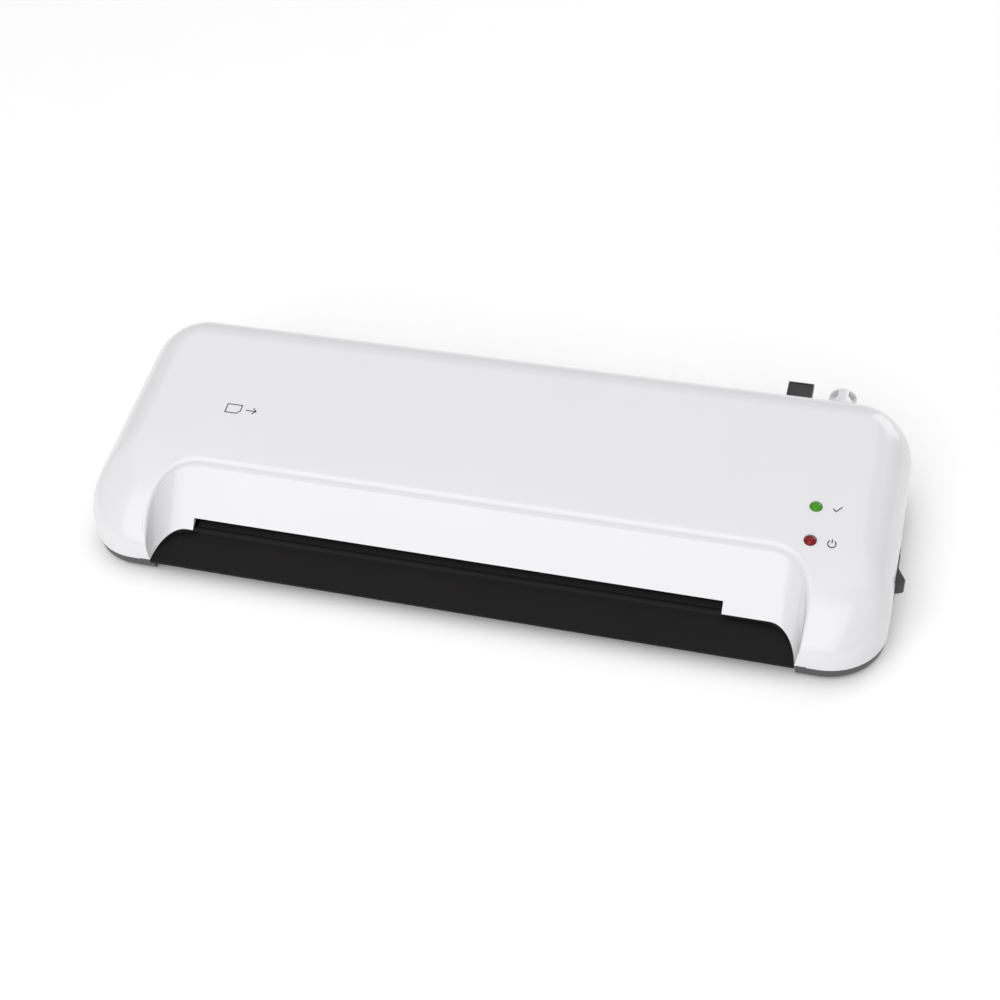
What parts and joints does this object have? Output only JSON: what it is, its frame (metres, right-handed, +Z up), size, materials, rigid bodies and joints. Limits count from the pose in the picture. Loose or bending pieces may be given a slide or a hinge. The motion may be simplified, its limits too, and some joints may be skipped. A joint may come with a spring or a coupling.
{
  "type": "pouch laminator",
  "caption": "Desktop pouch laminator: rounded white cover, black feed tray and slot, heated rollers, motor drive, rear release lever, side rocker switch and status lamps.",
  "frame": {"origin": "on the desk plane, under the middle of the whole object with its lever and switch", "axes": "+X along the width to the switch side, +Y from the feed tray to the back, +Z up"},
  "size_m": [0.3486, 0.1324, 0.049],
  "materials": {
    "white_abs": "gloss moulded ABS",
    "grey_abs": "fine spark texture",
    "black_abs": "fine spark texture",
    "steel": "zinc plated",
    "spring_steel": "drawn wire",
    "motor_can": "plated can",
    "silicone": "ground silicone rubber",
    "nylon": "moulded",
    "aluminium": "extruded",
    "heater_foil": "film",
    "phenolic": "moulded",
    "board_laminate": "solder resist",
    "led_body": "moulded",
    "green_lens": "clear tinted",
    "red_lens": "clear tinted",
    "foot_rubber": "moulded"
  },
  "bodies": {
    "root": {"top_cover": "white_abs", "base_pan": "grey_abs", "feed_tray": "black_abs", "exit_guide": "black_abs", "side_frame_left": "steel", "side_frame_right": "steel", "pressure_spring_left": "spring_steel", "pressure_spring_right": "spring_steel", "lower_bush_left": "nylon", "lower_bush_right": "nylon", "gear_motor": "motor_can", "motor_bracket": "steel", "lower_heater_shoe": "aluminium", "upper_heater_shoe": "aluminium", "lower_heater_strip": "heater_foil", "upper_heater_strip": "heater_foil", "thermostat": "phenolic", "thermal_fuse": "steel", "control_board": "board_laminate", "ready_led": "led_body", "power_led": "led_body", "ready_lens": "green_lens", "power_lens": "red_lens", "switch_housing": "black_abs", "cord_gland": "white_abs", "foot_1": "foot_rubber", "case_screw_1": "steel", "frame_screw_1": "steel", "foot_2": "foot_rubber", "case_screw_2": "steel", "frame_screw_2": "steel", "foot_3": "foot_rubber", "case_screw_3": "steel", "frame_screw_3": "steel", "foot_4": "foot_rubber", "case_screw_4": "steel", "frame_screw_4": "steel"},
    "lower_roller": {"lower_roller_shaft": "steel", "lower_roller_sleeve": "silicone", "lower_roller_gear": "nylon"},
    "upper_carriage": {"pressure_plate_left": "steel", "pressure_plate_right": "steel", "upper_bush_left": "nylon", "upper_bush_right": "nylon"},
    "upper_roller": {"upper_roller_shaft": "steel", "upper_roller_sleeve": "silicone", "upper_roller_gear": "nylon"},
    "drive_pinion": {"motor_pinion": "nylon", "motor_output_shaft": "steel"},
    "release": {"release_shaft": "black_abs", "release_lever": "black_abs"},
    "rocker": {"power_rocker": "black_abs"}
  },
  "joints": [
    {"name": "lower_roller_spin", "type": "hinge", "parent": "root", "child": "lower_roller", "pos_m": [-0.01034, 0.00015, 0.0135], "axis": [1, 0, 0], "continuous": true},
    {"name": "pressure_lift", "type": "slide", "parent": "root", "child": "upper_carriage", "axis": [0, 0, 1], "range_m": [0, 0.0015], "deforming": ["pressure_spring_left", "pressure_spring_right"]},
    {"name": "upper_roller_spin", "type": "hinge", "parent": "upper_carriage", "child": "upper_roller", "pos_m": [-0.01034, 0.00015, 0.0295], "axis": [1, 0, 0], "continuous": true},
    {"name": "drive_pinion_spin", "type": "hinge", "parent": "root", "child": "drive_pinion", "pos_m": [0.11786, 0.01754, 0.01816], "axis": [1, 0, 0], "continuous": true},
    {"name": "release_turn", "type": "hinge", "parent": "root", "child": "release", "pos_m": [0.11966, 0.04515, 0.035], "axis": [-1, 0, 0], "range_deg": [0, 30]},
    {"name": "rocker_tilt", "type": "hinge", "parent": "root", "child": "rocker", "pos_m": [0.16926, -0.01785, 0.0172], "axis": [0, 0, -1], "range_deg": [0, 26]}
  ],
  "couplings": [
    {"joint": "upper_roller_spin", "follows": "lower_roller_spin", "ratio": -1},
    {"joint": "drive_pinion_spin", "follows": "lower_roller_spin", "ratio": -0.8},
    {"joint": "release_turn", "follows": "pressure_lift", "rad_per_m": 349.07}
  ]
}
